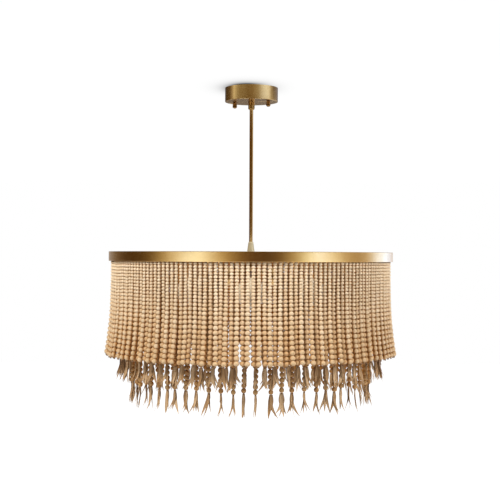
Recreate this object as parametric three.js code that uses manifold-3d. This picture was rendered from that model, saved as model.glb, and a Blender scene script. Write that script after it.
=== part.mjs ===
// A beaded chandelier in millimetres, +Z up.
// The origin is on the ceiling, in the middle of the canopy, and everything hangs below it.
// The bead strands hang in three tiers. Each tier is made of sectors that swing on their rail.

import * as THREE from "three";
import { mergeVertices } from "three/addons/utils/BufferGeometryUtils.js";
import Module from "manifold-3d";

const wasm = await Module();
wasm.setup();

// Fits
const seatGap = 0.3; // between a piece and what it rests on or screws into
const leanGap = 0.15; // between the leaning stem and the rim that it leans over in
const cutOverrun = 1; // how far a cutting shape runs past the face that it cuts
const weldDistance = 0.0001; // corners closer than this are one corner

// Round pieces are made of flat facets, more of them on the larger ones.
const smallSides = 12;
const mediumSides = 20;
const canopySides = 40;
const hoopSides = 60;
const railSides = 40;
const leadSides = 8;
const hexagonSides = 6;

// Canopy and what holds it to the ceiling
const canopyDiameter = 114;
const canopyHeight = 30;
const canopyWall = 1.5;
const canopyChamfer = 1.2;
const plateGap = 4.5; // around the plate, inside the canopy
const plateThickness = 2;
const plateHoleDiameter = 24;
const slotWidth = 5;
const slotLength = 14.5;
const slotInset = 11.3; // from the plate's edge to the middle of a slot
const studInset = 17.4; // from the canopy's side to the middle of a stud
const studDiameter = 4;
const studNutDiameter = 8;
const studNutHeight = 3.2;
const studTurn = THREE.MathUtils.degToRad(-24);
const capNutDiameter = 9.7;
const capNutLength = 11.7;
const capNutWall = 2.4; // brass below the end of the stud
const earthScrewDiameter = 4;
const earthScrewHeadDiameter = 8;
const earthScrewHeadHeight = 2.6;
const earthScrewInset = 19; // from the plate's edge
const earthScrewTurn = THREE.MathUtils.degToRad(20);

// Swivel that lets the stem hang straight
const nippleDiameter = 9.8;
const nippleBore = 6.4;
const nippleRise = 8; // above the canopy's inner face
const locknutDiameter = 16;
const locknutHeight = 3.5;
const collarDiameter = 14;
const collarLength = 16;
const collarWall = 1;
const collarLip = 1.7;
const collarChamfer = 1.1;
const collarNeck = 3.5; // length of the threaded neck above the ball
const ballDiameter = 10.8;
const ballHeightInCollar = 6; // ball centre above the collar's lower end
const ballBore = 3.8;
const ballSpigotLength = 12;
const seatTopBelowBall = 2.2;
const swivelTilt = THREE.MathUtils.degToRad(10);

// Stem
const stemDiameter = 8;
const stemWall = 1;
const couplingTopDiameter = 10.6;
const couplingBaseDiameter = 16.4;
const couplingHeight = 24.5;

// Ring band
const bandDrop = 364.5; // ceiling to the band's middle
const bandDiameter = 610;
const bandHeight = 20;
const bandWall = 2;

// Frame arms and rails
const armCount = 4;
const armWidth = 14;
const armThickness = 3;
const armTopBelowBand = 2.5; // below the band's upper edge
const armTurn = THREE.MathUtils.degToRad(45);
const railWidth = 4;
const railHeight = 4;

// Hub
const hubBossDiameter = 18;
const hubDiscDiameter = 48;
const hubDiscThickness = 4;
const hubBodyDiameter = 44;
const hubBodyHeight = 48;
const hubWall = 2.5;
const hubRoof = 3;
const hubSpigotLength = 7.6;
const hubBore = 5.8;
const hubCapFlange = 3;
const hubCapSpigot = 4;
const finialNeckDiameter = 6;
const finialNeckLength = 3;
const finialBallDiameter = 12;

// Lamps
const lampCount = 4;
const lampBelowBand = 23.5; // the band's middle to where the lamp axes meet
const lampSlope = THREE.MathUtils.degToRad(22);
const cupNeckStart = 15; // distances along the lamp axis, from the hub's axis
const cupNeckEnd = 34;
const cupNeckDiameter = 10;
const cupNeckBore = 6.8;
const cupBaseDiameter = 18;
const cupShoulder = 9;
const cupLength = 28;
const cupDiameter = 38;
const cupWall = 1.2;
const holderRear = 42;
const holderRearDiameter = 26;
const holderShoulder = 4;
const holderDiameter = 34.6;
const holderFlangeDiameter = 37;
const holderFlange = 2;
const holderLength = 46;
const holderBore = 27.2;
const holderBoreDepth = 38;
const bulbContactDiameter = 9;
const bulbBaseDiameter = 25.8;
const bulbBaseTaper = 4;
const bulbBaseLength = 34; // with the neck of the glass that stands in the holder
const bulbGlassDiameter = 60;
const bulbGlassLength = 82;
const leadDiameter = 3;
const leadTail = 8; // above the ball's centre
const branchDiameter = 2.4;

// Rails, from the band inwards: the clear space outside each one
const outerRailInset = 4.8;
const midRailInset = 11.2;
const innerRailInset = 20;

// Strands. Drops are measured from the band's middle.
const outerTopWidth = 5;
const outerEndWidth = 8.6;
const outerFlareDrop = 110;
const outerFlare = 10.1;
const outerBeadDrop = 213;
const midTopWidth = 6;
const midEndWidth = 8.6;
const midBeadDrop = 215;
const midTasselLength = 43;
const midTasselWidth = 9; // across the tips of its ribbons
const innerTopWidth = 6;
const innerEndWidth = 9;
const innerBeadDrop = 269.8;
const innerTasselLength = 42.5;
const innerTasselWidth = 11;
const headerWidth = 6.6;
const headerHeight = 2.4;
const lugHeight = 2.2;
const lugLength = 20;
const lugBase = 3;
const headerSteps = 5;
const flareMassShare = 0.36; // how far the flare carries a strand's centre of mass outwards
const ribbonThickness = 1.6;

// Places worked out from the sizes above
const canopyRadius = canopyDiameter / 2;
const canopyFloorTop = -canopyHeight + canopyWall;
const plateDiameter = canopyDiameter - 2 * (canopyWall + plateGap);
const slotSpacing = plateDiameter - 2 * slotInset; // 79.4, for box screws 70 to 89 mm apart
const studSpacing = canopyDiameter - 2 * studInset;
const earthScrewRadius = plateDiameter / 2 - earthScrewInset;
const nippleRadius = nippleDiameter / 2;
const collarRadius = collarDiameter / 2;
const collarTop = -canopyHeight - seatGap;
const collarBottom = collarTop - collarLength;
const ballRadius = ballDiameter / 2;
const ballZ = collarBottom + ballHeightInCollar;
const stemRadius = stemDiameter / 2;
const stemBore = stemRadius - stemWall;
const stemTop = ballZ - Math.sqrt(ballRadius ** 2 - stemBore ** 2) - seatGap;
const bandTop = -bandDrop + bandHeight / 2;
const bandBottom = bandTop - bandHeight;
const bandInnerRadius = bandDiameter / 2 - bandWall;
const outerRailRadius = bandInnerRadius - outerRailInset - railWidth / 2;
const midRailRadius = outerRailRadius - midRailInset - railWidth;
const innerRailRadius = midRailRadius - innerRailInset - railWidth;
const armTop = bandTop - armTopBelowBand;
const armBottom = armTop - armThickness;
const railTop = armBottom - seatGap;
const railBottom = railTop - railHeight;
const hubDiscTop = armBottom - seatGap;
const hubBossTop = armTop - seatGap;
const couplingBottom = armTop;
const couplingTop = couplingBottom + couplingHeight;
const hubSpigotTop = hubBossTop + hubSpigotLength;
const stemBottom = hubSpigotTop + seatGap;
const hubBottom = hubDiscTop - hubDiscThickness - hubBodyHeight;
const hubBodyRadius = hubBodyDiameter / 2;
const hubRoofBottom = hubDiscTop - hubDiscThickness - hubRoof;
const hingeZ = railBottom - seatGap;
const lampDrop = bandDrop + lampBelowBand;

// Tiers, from the outermost inwards
const tiers = [
  {
    name: "outer",
    railRadius: outerRailRadius,
    sectors: 10,
    strands: 18,
    topWidth: outerTopWidth,
    endWidth: outerEndWidth,
    flareDrop: outerFlareDrop,
    flare: outerFlare,
    beadDrop: outerBeadDrop,
    tasselLength: 0,
  },
  {
    name: "mid",
    railRadius: midRailRadius,
    sectors: 6,
    strands: 14,
    topWidth: midTopWidth,
    endWidth: midEndWidth,
    flare: 0,
    beadDrop: midBeadDrop,
    tasselLength: midTasselLength,
    tasselWidth: midTasselWidth,
  },
  {
    name: "inner",
    railRadius: innerRailRadius,
    sectors: 6,
    strands: 11,
    topWidth: innerTopWidth,
    endWidth: innerEndWidth,
    flare: 0,
    beadDrop: innerBeadDrop,
    tasselLength: innerTasselLength,
    tasselWidth: innerTasselWidth,
  },
];

// A material with the piece's colour and finish.
function finish(color, roughness, metalness) {
  return new THREE.MeshStandardMaterial({ color, roughness, metalness });
}

const brass = finish(0xb08d4f, 0.38, 1);
const steel = finish(0x9a9a96, 0.45, 1);
const darkSteel = finish(0x5d5348, 0.5, 1);
const nylon = finish(0xe8e4da, 0.6, 0);
const phenolic = finish(0x2b2724, 0.5, 0);
const frosted = finish(0xf4f1ea, 0.3, 0);
const cable = finish(0x8a6f48, 0.6, 0);
const greenScrew = finish(0x3f7a4a, 0.45, 0.6);
const woodFinishes = {
  outer: finish(0xdcbd92, 0.65, 0),
  mid: finish(0xc9a676, 0.7, 0),
  inner: finish(0xb9946a, 0.7, 0),
};

// A closed solid from the triangles of a geometry, with its faces turned outwards.
function solidOf(geometry) {
  const bare = new THREE.BufferGeometry();
  bare.setAttribute("position", geometry.getAttribute("position"));
  bare.setIndex(geometry.getIndex());
  const merged = mergeVertices(bare, weldDistance);
  const points = merged.getAttribute("position").array;
  const index = merged.getIndex().array;
  const corner = (i) => new THREE.Vector3().fromArray(points, 3 * i);
  const kept = [];
  let sixVolumes = 0;
  for (let i = 0; i < index.length; i += 3) {
    const [a, b, c] = index.slice(i, i + 3);
    if (a !== b && b !== c && c !== a) {
      kept.push(a, b, c);
      sixVolumes += corner(a).dot(corner(b).cross(corner(c)));
    }
  }
  if (sixVolumes < 0) kept.reverse();
  const vertProperties = new Float32Array(points);
  const triVerts = new Uint32Array(kept);
  return new wasm.Manifold(new wasm.Mesh({ numProp: 3, vertProperties, triVerts }));
}

// The triangles of a solid as a geometry.
function geometryOf(solid) {
  const mesh = solid.getMesh();
  const geometry = new THREE.BufferGeometry();
  geometry.setAttribute("position", new THREE.BufferAttribute(mesh.vertProperties, 3));
  geometry.setIndex(new THREE.BufferAttribute(mesh.triVerts, 1));
  geometry.computeVertexNormals();
  return geometry;
}

// A piece turned about the Z axis from an outline of [radius, height] points.
function turned(outline, sides = mediumSides) {
  const points = outline.map(([radius, height]) => new THREE.Vector2(radius, height));
  return new THREE.LatheGeometry(points, sides).rotateX(Math.PI / 2);
}

// The same for an outline that goes round a hole and comes back to its first point.
function turnedRing(outline, sides = mediumSides) {
  return turned([...outline, outline[0]], sides);
}

// A round bar along Z, from one height to another.
function roundBar(diameter, low, high, sides = smallSides) {
  const bar = new THREE.CylinderGeometry(diameter / 2, diameter / 2, high - low, sides);
  return bar.rotateX(Math.PI / 2).translate(0, 0, (low + high) / 2);
}

// A box from its lowest and its highest corner.
function block(low, high) {
  const [x, y, z] = low.map((value, i) => high[i] - value);
  const middle = low.map((value, i) => (value + high[i]) / 2);
  return new THREE.BoxGeometry(x, y, z).translate(...middle);
}

// A closed solid through rings of corners, one ring after another.
function loft(rings) {
  const sides = rings[0].length;
  const index = [];
  for (let ring = 0; ring < rings.length - 1; ring += 1) {
    for (let side = 0; side < sides; side += 1) {
      const a = ring * sides + side;
      const b = ring * sides + ((side + 1) % sides);
      index.push(a, b, b + sides, a, b + sides, a + sides);
    }
  }
  const last = (rings.length - 1) * sides;
  for (let side = 1; side < sides - 1; side += 1) {
    index.push(0, side + 1, side, last, last + side, last + side + 1);
  }
  return new THREE.BufferGeometry().setFromPoints(rings.flat()).setIndex(index);
}

function joined(geometries) {
  return geometries.map(solidOf).reduce((whole, next) => whole.add(next));
}

function cut(geometry, tools) {
  return geometryOf(tools.map(solidOf).reduce((left, tool) => left.subtract(tool), solidOf(geometry)));
}

function piece(name, geometry, material) {
  const mesh = new THREE.Mesh(geometry, material);
  mesh.name = name;
  return mesh;
}

// The two ends of the line through the studs.
const studPlaces = [-studSpacing / 2, studSpacing / 2];

// Tools that cut the two stud holes through a plate.
function studHoles(low, high) {
  const hole = roundBar(studDiameter + 2 * seatGap, low, high);
  return studPlaces.map((x) => hole.clone().translate(x, 0, 0));
}

function canopyCover() {
  const inner = canopyRadius - canopyWall;
  const hole = nippleRadius + seatGap;
  const shell = turnedRing(
    [
      [hole, -canopyHeight],
      [canopyRadius - canopyChamfer, -canopyHeight],
      [canopyRadius, -canopyHeight + canopyChamfer],
      [canopyRadius, 0],
      [inner, 0],
      [inner, canopyFloorTop],
      [hole, canopyFloorTop],
    ],
    canopySides,
  );
  return cut(shell, studHoles(-canopyHeight - cutOverrun, canopyFloorTop + cutOverrun));
}

// A slot through the plate: a short bar with round ends, along Y.
function plateSlot(y) {
  const straight = (slotLength - slotWidth) / 2;
  const low = -plateThickness - cutOverrun;
  const outline = new THREE.Shape()
    .absarc(0, y + straight, slotWidth / 2, 0, Math.PI)
    .absarc(0, y - straight, slotWidth / 2, Math.PI, 2 * Math.PI);
  const slot = new THREE.ExtrudeGeometry(outline, {
    depth: plateThickness + 2 * cutOverrun,
    bevelEnabled: false,
    curveSegments: smallSides / 2,
  });
  return slot.translate(0, 0, low);
}

function mountingPlate() {
  const low = -plateThickness - cutOverrun;
  const disc = roundBar(plateDiameter, -plateThickness, 0, mediumSides);
  const screwHole = roundBar(earthScrewDiameter + 2 * seatGap, low, cutOverrun);
  return cut(disc, [
    roundBar(plateHoleDiameter, low, cutOverrun, mediumSides),
    ...studHoles(low, cutOverrun),
    plateSlot(slotSpacing / 2),
    plateSlot(-slotSpacing / 2),
    screwHole.translate(...earthScrewPlace()),
  ]);
}

function earthScrewPlace() {
  const x = earthScrewRadius * Math.cos(earthScrewTurn);
  const y = earthScrewRadius * Math.sin(earthScrewTurn);
  return [x, y, 0];
}

function earthScrew() {
  const headTop = -plateThickness - seatGap;
  return turned(
    [
      [0, headTop - earthScrewHeadHeight],
      [earthScrewHeadDiameter / 2, headTop - earthScrewHeadHeight],
      [earthScrewHeadDiameter / 2, headTop],
      [earthScrewDiameter / 2, headTop],
      [earthScrewDiameter / 2, 0],
      [0, 0],
    ],
    smallSides,
  ).translate(...earthScrewPlace());
}

// The cap nuts close the studs from below, and leave a wall of brass under them.
const capNutTop = -canopyHeight - seatGap;
const studBottom = capNutTop - capNutLength + capNutWall + seatGap;

function canopyStud() {
  const nutTop = -plateThickness - seatGap;
  const nutRadius = studNutDiameter / 2;
  return turned(
    [
      [0, studBottom],
      [studDiameter / 2, studBottom],
      [studDiameter / 2, nutTop - studNutHeight],
      [nutRadius, nutTop - studNutHeight],
      [nutRadius, nutTop],
      [studDiameter / 2, nutTop],
      [studDiameter / 2, 0],
      [0, 0],
    ],
    smallSides,
  );
}

function canopyNut() {
  const radius = capNutDiameter / 2;
  const bottom = capNutTop - capNutLength;
  const bore = studDiameter / 2 + seatGap;
  const boreEnd = bottom + capNutWall;
  return turned(
    [
      [0, bottom],
      [radius / 2, bottom],
      [radius, bottom + radius / 2],
      [radius, capNutTop - radius / 4],
      [radius - radius / 4, capNutTop],
      [bore, capNutTop],
      [bore, boreEnd],
      [0, boreEnd],
    ],
    smallSides,
  );
}

const nippleBottom = ballZ + ballRadius + seatGap;

function canopyNipple() {
  const bore = nippleBore / 2;
  const top = canopyFloorTop + nippleRise;
  return turnedRing([
    [bore, nippleBottom],
    [nippleRadius, nippleBottom],
    [nippleRadius, top],
    [bore, top],
  ]);
}

function canopyLocknut() {
  const bore = roundBar(nippleDiameter + 2 * seatGap, -canopyHeight, 0, mediumSides);
  const low = canopyFloorTop + seatGap;
  const hexagon = roundBar(locknutDiameter, low, low + locknutHeight, hexagonSides);
  return cut(hexagon, [bore]);
}

// How far from the axis the leaning stem reaches at a depth below the ball's centre.
function stemReach(depth) {
  return stemRadius / Math.cos(swivelTilt) + depth * Math.tan(swivelTilt) + leanGap;
}

const collarCavityRadius = collarRadius - collarWall;
const collarLipTop = collarBottom + collarLip;

function swivelCollar() {
  const neckBore = nippleRadius + seatGap;
  const neckBottom = collarTop - collarNeck;
  return turnedRing([
    [stemReach(ballHeightInCollar), collarBottom],
    [collarRadius - collarChamfer, collarBottom],
    [collarRadius, collarBottom + collarChamfer],
    [collarRadius, collarTop],
    [neckBore, collarTop],
    [neckBore, neckBottom],
    [collarCavityRadius, neckBottom],
    [collarCavityRadius, collarLipTop],
    [stemReach(ballHeightInCollar - collarLip), collarLipTop],
  ]);
}

// The ball rests on this ring, and the ring turns on the collar's lip.
function swivelSeat() {
  const outer = collarCavityRadius - seatGap;
  const bottomDepth = ballZ - collarLipTop - seatGap;
  const bore = stemReach(bottomDepth);
  const cup = ballRadius + seatGap;
  const top = ballZ - seatTopBelowBall;
  return turnedRing([
    [bore, ballZ - bottomDepth],
    [outer, ballZ - bottomDepth],
    [outer, top],
    [Math.sqrt(cup ** 2 - seatTopBelowBall ** 2), top],
    [bore, ballZ - Math.sqrt(cup ** 2 - bore ** 2)],
  ]);
}

function swivelBall() {
  const bore = ballBore / 2;
  const spigot = stemBore - seatGap;
  const start = Math.asin(-Math.sqrt(1 - (spigot / ballRadius) ** 2));
  const end = Math.asin(Math.sqrt(1 - (bore / ballRadius) ** 2));
  const steps = smallSides / 2;
  const curve = Array.from({ length: steps + 1 }, (_, i) => {
    const angle = start + ((end - start) * i) / steps;
    return [ballRadius * Math.cos(angle), ballZ + ballRadius * Math.sin(angle)];
  });
  const spigotBottom = stemTop - ballSpigotLength;
  return turnedRing([[bore, spigotBottom], [spigot, spigotBottom], ...curve]);
}

function stem() {
  return turnedRing([
    [stemBore, stemBottom],
    [stemRadius, stemBottom],
    [stemRadius, stemTop],
    [stemBore, stemTop],
  ]);
}

function stemCoupling() {
  const bore = stemRadius + seatGap;
  return turnedRing([
    [bore, couplingBottom],
    [couplingBaseDiameter / 2, couplingBottom],
    [couplingTopDiameter / 2, couplingTop],
    [bore, couplingTop],
  ]);
}

function hub() {
  const bore = hubBore / 2;
  const discBottom = hubDiscTop - hubDiscThickness;
  const chamber = hubBodyRadius - hubWall;
  const body = turnedRing([
    [bore, hubSpigotTop],
    [stemRadius, hubSpigotTop],
    [stemRadius, hubBossTop],
    [hubBossDiameter / 2, hubBossTop],
    [hubBossDiameter / 2, hubDiscTop],
    [hubDiscDiameter / 2, hubDiscTop],
    [hubDiscDiameter / 2, discBottom],
    [hubBodyRadius, discBottom],
    [hubBodyRadius, hubBottom],
    [chamber, hubBottom],
    [chamber, hubRoofBottom],
    [bore, hubRoofBottom],
  ]);
  const port = roundBar(cupNeckDiameter + 2 * seatGap, 0, cupNeckEnd);
  return cut(body, aroundLamps(port));
}

function hubCap() {
  const top = hubBottom - seatGap;
  const low = top - hubCapFlange;
  const spigot = hubBodyRadius - hubWall - seatGap;
  const neck = finialNeckDiameter / 2;
  const ball = finialBallDiameter / 2;
  const ballMiddle = low - finialNeckLength - Math.sqrt(ball ** 2 - neck ** 2);
  const end = Math.acos(neck / ball);
  const steps = smallSides / 4;
  const curve = Array.from({ length: steps }, (_, i) => {
    const angle = -Math.PI / 2 + ((end + Math.PI / 2) * (i + 1)) / steps;
    return [ball * Math.cos(angle), ballMiddle + ball * Math.sin(angle)];
  });
  return turned([
    [0, ballMiddle - ball],
    ...curve,
    [neck, low],
    [hubBodyRadius - hubCapFlange, low],
    [hubBodyRadius, low + hubCapFlange / 2],
    [hubBodyRadius, top],
    [spigot, top],
    [spigot, top + hubCapSpigot],
    [0, top + hubCapSpigot],
  ]);
}

function ringBand() {
  const outer = bandDiameter / 2;
  return turnedRing(
    [
      [bandInnerRadius, bandBottom],
      [outer, bandBottom],
      [outer, bandTop],
      [bandInnerRadius, bandTop],
    ],
    hoopSides,
  );
}

function rail(tier) {
  const middle = tier.railRadius;
  return turnedRing(
    [
      [middle - railWidth / 2, railBottom],
      [middle + railWidth / 2, railBottom],
      [middle + railWidth / 2, railTop],
      [middle - railWidth / 2, railTop],
    ],
    railSides,
  );
}

// An arm along +X, from the hub's boss to the band's facets.
function frameArm() {
  const start = hubBossDiameter / 2 + seatGap;
  const facetShare = Math.cos(Math.PI / hoopSides);
  const reach = Math.sqrt((bandInnerRadius * facetShare) ** 2 - (armWidth / 2) ** 2);
  return block([start, -armWidth / 2, armBottom], [reach - seatGap, armWidth / 2, armTop]);
}

// Turns and drops what is made along +Z so that it lies along one lamp's axis.
function lampPlace(i) {
  const place = new THREE.Matrix4().makeTranslation(0, 0, -lampDrop);
  const round = new THREE.Matrix4().makeRotationZ((2 * Math.PI * i) / lampCount);
  const lean = new THREE.Matrix4().makeRotationY(Math.PI / 2 + lampSlope);
  return place.multiply(round).multiply(lean);
}

function aroundLamps(geometry) {
  return Array.from({ length: lampCount }, (_, i) => geometry.clone().applyMatrix4(lampPlace(i)));
}

function lampCup() {
  const end = cupNeckEnd + cupLength;
  const radius = cupDiameter / 2;
  const inside = cupNeckEnd + cupWall;
  return turnedRing(
    [
      [cupNeckBore / 2, cupNeckStart],
      [cupNeckDiameter / 2, cupNeckStart],
      [cupNeckDiameter / 2, cupNeckEnd],
      [cupBaseDiameter / 2, cupNeckEnd],
      [radius, cupNeckEnd + cupShoulder],
      [radius, end],
      [radius - cupWall, end],
      [radius - cupWall, cupNeckEnd + cupShoulder + cupWall / 2],
      [cupBaseDiameter / 2 - cupWall / 2, inside],
      [cupNeckBore / 2, inside],
    ],
    smallSides,
  );
}

function lampholder() {
  const radius = holderDiameter / 2;
  const flange = holderFlangeDiameter / 2;
  const front = holderRear + holderLength;
  return turned(
    [
      [0, holderRear],
      [holderRearDiameter / 2, holderRear],
      [radius, holderRear + holderShoulder],
      [radius, front - holderFlange],
      [flange, front - holderFlange],
      [flange, front],
      [holderBore / 2, front],
      [holderBore / 2, front - holderBoreDepth],
      [0, front - holderBoreDepth],
    ],
    smallSides,
  );
}

// The screw base stands in the holder, and the glass swells from its neck to a round end.
function bulb() {
  const floor = holderRear + holderLength - holderBoreDepth;
  const contact = floor + seatGap;
  const base = bulbBaseDiameter / 2;
  const globe = bulbGlassDiameter / 2;
  const neckTop = contact + bulbBaseTaper + bulbBaseLength;
  const swell = bulbGlassLength - globe;
  const swellSteps = 4;
  const neckToGlobe = Array.from({ length: swellSteps + 1 }, (_, i) => {
    const share = i / swellSteps;
    const ease = (1 - Math.cos(Math.PI * share)) / 2;
    return [base + (globe - base) * ease, neckTop + swell * share];
  });
  const roundEnd = Array.from({ length: swellSteps }, (_, i) => {
    const angle = (Math.PI / 2) * ((i + 1) / swellSteps);
    return [globe * Math.cos(angle), neckTop + swell + globe * Math.sin(angle)];
  });
  roundEnd[swellSteps - 1] = [0, neckTop + bulbGlassLength];
  return turned(
    [
      [0, contact],
      [bulbContactDiameter / 2, contact],
      [base, contact + bulbBaseTaper],
      ...neckToGlobe,
      ...roundEnd,
    ],
    smallSides,
  );
}

// The lead runs down the stem and branches to each lampholder.
function wiringLead() {
  const trunk = roundBar(leadDiameter, -lampDrop - leadDiameter / 2, ballZ + leadTail, leadSides);
  const branch = roundBar(branchDiameter, 0, holderRear - seatGap, leadSides);
  return geometryOf(joined([trunk, ...aroundLamps(branch)]));
}

// The line that a sector swings about lies over its centre of mass, so that it hangs straight.
function hingeRadius(tier) {
  const half = Math.PI / tier.sectors;
  const arcShare = Math.sin(half) / half;
  return tier.railRadius * arcShare + tier.flare * flareMassShare;
}

// A four-cornered ring at a distance from the axis, lying across a strand.
function crossSection(angle, radius, z, depth, width) {
  const out = new THREE.Vector3(Math.cos(angle), Math.sin(angle), 0);
  const along = new THREE.Vector3(-out.y, out.x, 0);
  return [
    [-1, -1],
    [1, -1],
    [1, 1],
    [-1, 1],
  ].map(([u, v]) =>
    new THREE.Vector3(0, 0, z)
      .addScaledVector(out, radius + (u * depth) / 2)
      .addScaledVector(along, (v * width) / 2),
  );
}

// One strand with its top in the header, as a bar of the beads' outer width. Where it has a
// tassel, it goes flat and spreads under the last bead, as the tied ribbons do.
function strand(tier, angle) {
  const { railRadius, topWidth, endWidth, flareDrop, flare, tasselLength } = tier;
  const top = -lugHeight - headerHeight / 2;
  const end = -bandDrop - tier.beadDrop - hingeZ;
  const ring = (at, z, depth, width) => crossSection(angle, at, z, depth, width);
  const rings = [ring(railRadius, top, topWidth, topWidth)];
  if (flare) {
    const bend = -bandDrop - flareDrop - hingeZ;
    const bendWidth = topWidth + ((endWidth - topWidth) * (bend - top)) / (end - top);
    rings.push(ring(railRadius, bend, bendWidth, bendWidth));
  }
  rings.push(ring(railRadius + flare, end, endWidth, endWidth));
  if (tasselLength) {
    rings.push(ring(railRadius, end - tasselLength, ribbonThickness, tier.tasselWidth));
  }
  return loft(rings);
}

// The bar that joins the strands of a sector, bent to the rail's curve.
function header(tier) {
  const radius = tier.railRadius;
  const pitch = (2 * Math.PI) / (tier.sectors * tier.strands);
  const half = (pitch * (tier.strands - 1)) / 2 + tier.topWidth / (2 * radius);
  const outer = radius + headerWidth / 2;
  const inner = radius - headerWidth / 2;
  const outline = new THREE.Shape()
    .absarc(0, 0, outer, -half, half, false)
    .absarc(0, 0, inner, half, -half, true);
  return new THREE.ExtrudeGeometry(outline, {
    depth: headerHeight,
    bevelEnabled: false,
    curveSegments: headerSteps,
  }).translate(0, 0, -lugHeight - headerHeight);
}

// Loops under the rail. Their upper edges lie on the hinge line.
function lugs(tier) {
  const x = hingeRadius(tier);
  const away = Math.sqrt(Math.max(tier.railRadius ** 2 - x ** 2, 0));
  const foot = -lugHeight - headerHeight / 2;
  return [-away, away].map((y) => {
    const row = (from) => [
      new THREE.Vector3(x - lugBase / 2, from, foot),
      new THREE.Vector3(x + lugBase / 2, from, foot),
      new THREE.Vector3(x, from, 0),
    ];
    return loft([row(y - lugLength / 2), row(y + lugLength / 2)]);
  });
}

// A sector of a tier, made facing +X with its hinge line at height 0.
function strandSector(tier) {
  const pitch = (2 * Math.PI) / (tier.sectors * tier.strands);
  const angles = Array.from(
    { length: tier.strands },
    (_, i) => pitch * (i - (tier.strands - 1) / 2),
  );
  const shapes = [header(tier), ...lugs(tier), ...angles.map((angle) => strand(tier, angle))];
  return geometryOf(joined(shapes));
}

const chandelier = new THREE.Group();
chandelier.name = "chandelier";

// Canopy, turned so that its two nuts lie as they hang
const ceilingEnd = new THREE.Group();
ceilingEnd.rotation.z = studTurn;
ceilingEnd.add(
  piece("mounting_plate", mountingPlate(), steel),
  piece("earth_screw", earthScrew(), greenScrew),
  piece("canopy_cover", canopyCover(), brass),
  piece("canopy_nipple", canopyNipple(), steel),
  piece("canopy_locknut", canopyLocknut(), steel),
  piece("swivel_collar", swivelCollar(), brass),
);
studPlaces.forEach((x, i) => {
  const fixing = new THREE.Group();
  fixing.position.x = x;
  fixing.add(
    piece(`canopy_stud_${i + 1}`, canopyStud(), steel),
    piece(`canopy_nut_${i + 1}`, canopyNut(), brass),
  );
  ceilingEnd.add(fixing);
});

// Stem and the frame that it carries
const drop = new THREE.Group();
drop.add(
  piece("swivel_seat", swivelSeat(), nylon),
  piece("swivel_ball", swivelBall(), brass),
  piece("stem", stem(), brass),
  piece("stem_coupling", stemCoupling(), brass),
  piece("hub", hub(), brass),
  piece("hub_cap", hubCap(), brass),
  piece("ring_band", ringBand(), brass),
  piece("wiring_lead", wiringLead(), cable),
);
for (let i = 0; i < armCount; i += 1) {
  const arm = piece(`frame_arm_${i + 1}`, frameArm(), darkSteel);
  arm.rotation.z = armTurn + (2 * Math.PI * i) / armCount;
  drop.add(arm);
}
for (let i = 0; i < lampCount; i += 1) {
  const lamp = new THREE.Group();
  lamp.applyMatrix4(lampPlace(i));
  lamp.add(
    piece(`lamp_cup_${i + 1}`, lampCup(), brass),
    piece(`lampholder_${i + 1}`, lampholder(), phenolic),
    piece(`bulb_${i + 1}`, bulb(), frosted),
  );
  drop.add(lamp);
}

// Rails and the sectors of strands that hang on them
const curtain = new THREE.Group();
for (const tier of tiers) {
  curtain.add(piece(`${tier.name}_rail`, rail(tier), darkSteel));
  const sector = strandSector(tier);
  for (let i = 0; i < tier.sectors; i += 1) {
    const name = `${tier.name}_strands_${String(i + 1).padStart(2, "0")}`;
    const mesh = piece(name, sector, woodFinishes[tier.name]);
    mesh.position.z = hingeZ;
    mesh.rotation.z = (2 * Math.PI * i) / tier.sectors;
    curtain.add(mesh);
  }
}

chandelier.add(ceilingEnd, drop, curtain);

export default chandelier;
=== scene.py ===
# Beaded chandelier: the looks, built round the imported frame. Metres, +Z up, the ceiling at zero.
import math

import bmesh
import bpy
from mathutils import Matrix, Vector


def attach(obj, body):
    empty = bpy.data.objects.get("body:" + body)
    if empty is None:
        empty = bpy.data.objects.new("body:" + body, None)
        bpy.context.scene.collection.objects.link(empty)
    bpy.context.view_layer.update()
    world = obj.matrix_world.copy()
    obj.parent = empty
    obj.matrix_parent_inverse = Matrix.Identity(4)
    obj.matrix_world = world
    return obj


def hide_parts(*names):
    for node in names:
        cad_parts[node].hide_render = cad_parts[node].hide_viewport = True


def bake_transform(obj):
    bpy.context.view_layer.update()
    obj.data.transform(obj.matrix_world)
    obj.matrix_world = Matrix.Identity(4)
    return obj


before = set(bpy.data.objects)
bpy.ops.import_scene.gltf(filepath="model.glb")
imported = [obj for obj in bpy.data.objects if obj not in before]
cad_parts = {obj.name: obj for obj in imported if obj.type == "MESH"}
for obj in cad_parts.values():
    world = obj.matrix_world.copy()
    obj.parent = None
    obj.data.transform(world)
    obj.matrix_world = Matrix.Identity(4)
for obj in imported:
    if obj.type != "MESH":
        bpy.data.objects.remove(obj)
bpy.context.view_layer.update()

scene = bpy.context.scene
mm = 0.001
bandMiddle = -0.3645        # height of the brass band's middle


def added(name, data):
    made = bpy.data.objects.new(name, data)
    scene.collection.objects.link(made)
    return made


# Camera: level with the brass band, two and a half metres away, with a long lens.
cameraSettings = {
    "place": (0, -2.487, bandMiddle),
    "lens": 82.8,
    "sensor": 36,
    "rollDegrees": -0.25,
    "shiftAcross": -0.0016,
    "shiftUp": 0.0134,
}
cameraData = bpy.data.cameras.new("viewCamera")
cameraData.lens = cameraSettings["lens"]
cameraData.sensor_width = cameraSettings["sensor"]
cameraData.shift_x = cameraSettings["shiftAcross"]
cameraData.shift_y = cameraSettings["shiftUp"]
camera = added("viewCamera", cameraData)
camera.location = cameraSettings["place"]
camera.rotation_euler = (math.radians(90), math.radians(cameraSettings["rollDegrees"]), 0)
scene.camera = camera
scene.view_settings.view_transform = "Standard"
print("camera placed")


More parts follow.
